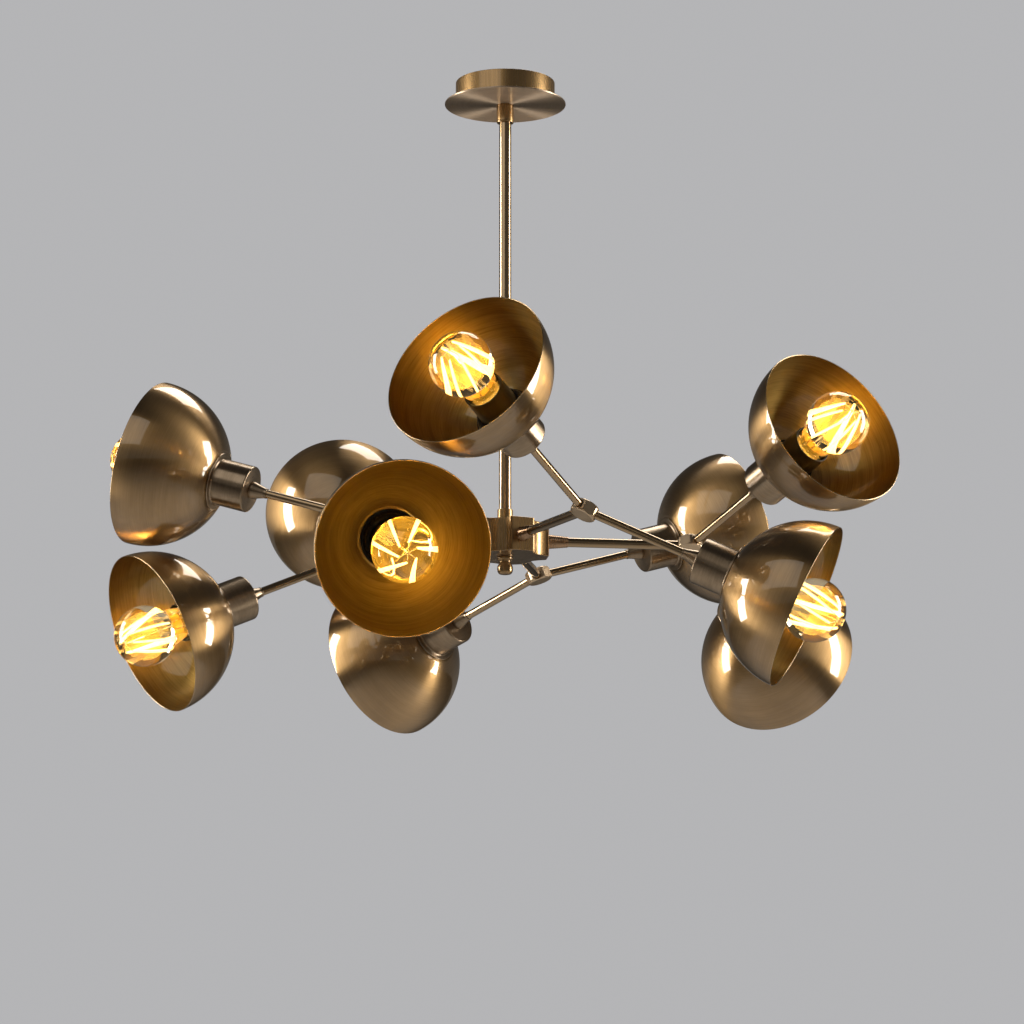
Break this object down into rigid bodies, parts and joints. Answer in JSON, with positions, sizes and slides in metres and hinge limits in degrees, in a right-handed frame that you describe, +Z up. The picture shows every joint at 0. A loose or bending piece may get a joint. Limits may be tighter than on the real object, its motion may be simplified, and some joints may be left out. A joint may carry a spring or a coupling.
{
  "type": "multi arm chandelier",
  "caption": "Hanging lamp: round ceiling canopy, straight stem, star hub with radial arms that fork into pairs of domed metal shades around clear round bulbs.",
  "frame": {"origin": "middle of the ceiling bracket's top face, where it meets the ceiling", "axes": "+Z up into the ceiling, +X to the viewer's right, +Y away from the viewer"},
  "size_m": [0.7662, 0.7792, 0.6385],
  "materials": {
    "antique_brass": "brushed antique brass under satin lacquer",
    "satin_cast_brass": "satin, bead-blasted casting",
    "zinc_plated_steel": "zinc plated",
    "black_bakelite": "moulded, semi-matt",
    "clear_glass": "clear, lit from inside by warm filaments",
    "white_plastic": "moulded"
  },
  "bodies": {
    "ceiling": {"ceiling_bracket": "zinc_plated_steel", "terminal_block": "white_plastic", "canopy_drum": "antique_brass", "canopy_disc": "antique_brass", "threaded_nipple": "zinc_plated_steel", "stem_coupler": "antique_brass"},
    "frame": {"stem_tube": "antique_brass", "stem_collar": "antique_brass", "hub": "antique_brass", "finial": "antique_brass", "arm_a": "antique_brass", "arm_b": "antique_brass", "arm_c": "antique_brass", "arm_d": "antique_brass", "arm_e": "antique_brass"},
    "pair_a": {"y_joint_a": "satin_cast_brass", "rod_and_cup_a1": "antique_brass", "shade_a1": "antique_brass", "lamp_holder_a1": "black_bakelite", "bulb_a1": "clear_glass", "rod_and_cup_a2": "antique_brass", "shade_a2": "antique_brass", "lamp_holder_a2": "black_bakelite", "bulb_a2": "clear_glass"},
    "pair_b": {"y_joint_b": "satin_cast_brass", "rod_and_cup_b1": "antique_brass", "shade_b1": "antique_brass", "lamp_holder_b1": "black_bakelite", "bulb_b1": "clear_glass", "rod_and_cup_b2": "antique_brass", "shade_b2": "antique_brass", "lamp_holder_b2": "black_bakelite", "bulb_b2": "clear_glass"},
    "pair_c": {"y_joint_c": "satin_cast_brass", "rod_and_cup_c1": "antique_brass", "shade_c1": "antique_brass", "lamp_holder_c1": "black_bakelite", "bulb_c1": "clear_glass", "rod_and_cup_c2": "antique_brass", "shade_c2": "antique_brass", "lamp_holder_c2": "black_bakelite", "bulb_c2": "clear_glass"},
    "pair_d": {"y_joint_d": "satin_cast_brass", "rod_and_cup_d1": "antique_brass", "shade_d1": "antique_brass", "lamp_holder_d1": "black_bakelite", "bulb_d1": "clear_glass", "rod_and_cup_d2": "antique_brass", "shade_d2": "antique_brass", "lamp_holder_d2": "black_bakelite", "bulb_d2": "clear_glass"},
    "pair_e": {"y_joint_e": "satin_cast_brass", "rod_and_cup_e1": "antique_brass", "shade_e1": "antique_brass", "lamp_holder_e1": "black_bakelite", "bulb_e1": "clear_glass", "rod_and_cup_e2": "antique_brass", "shade_e2": "antique_brass", "lamp_holder_e2": "black_bakelite", "bulb_e2": "clear_glass"}
  },
  "joints": [
    {"name": "stem_swivel", "type": "hinge", "parent": "ceiling", "child": "frame", "pos_m": [0, 0, -0.0416], "axis": [0, 0, 1], "range_deg": [-170, 170]},
    {"name": "pair_a_roll", "type": "hinge", "parent": "frame", "child": "pair_a", "pos_m": [0.18149, 0.01333, -0.46894], "axis": [-0.9972, -0.0732, 0.014], "range_deg": [0, 60]},
    {"name": "pair_b_roll", "type": "hinge", "parent": "frame", "child": "pair_b", "pos_m": [0.0341, 0.17876, -0.46894], "axis": [-0.1874, -0.9822, 0.014], "range_deg": [0, 60]},
    {"name": "pair_c_roll", "type": "hinge", "parent": "frame", "child": "pair_c", "pos_m": [-0.1587, 0.08906, -0.46894], "axis": [0.872, -0.4893, 0.014], "range_deg": [0, 60]},
    {"name": "pair_d_roll", "type": "hinge", "parent": "frame", "child": "pair_d", "pos_m": [-0.13374, -0.12341, -0.46894], "axis": [0.7348, 0.6781, 0.014], "range_deg": [0, 60]},
    {"name": "pair_e_roll", "type": "hinge", "parent": "frame", "child": "pair_e", "pos_m": [0.0746, -0.16599, -0.46894], "axis": [-0.4099, 0.912, 0.014], "range_deg": [0, 60]}
  ]
}
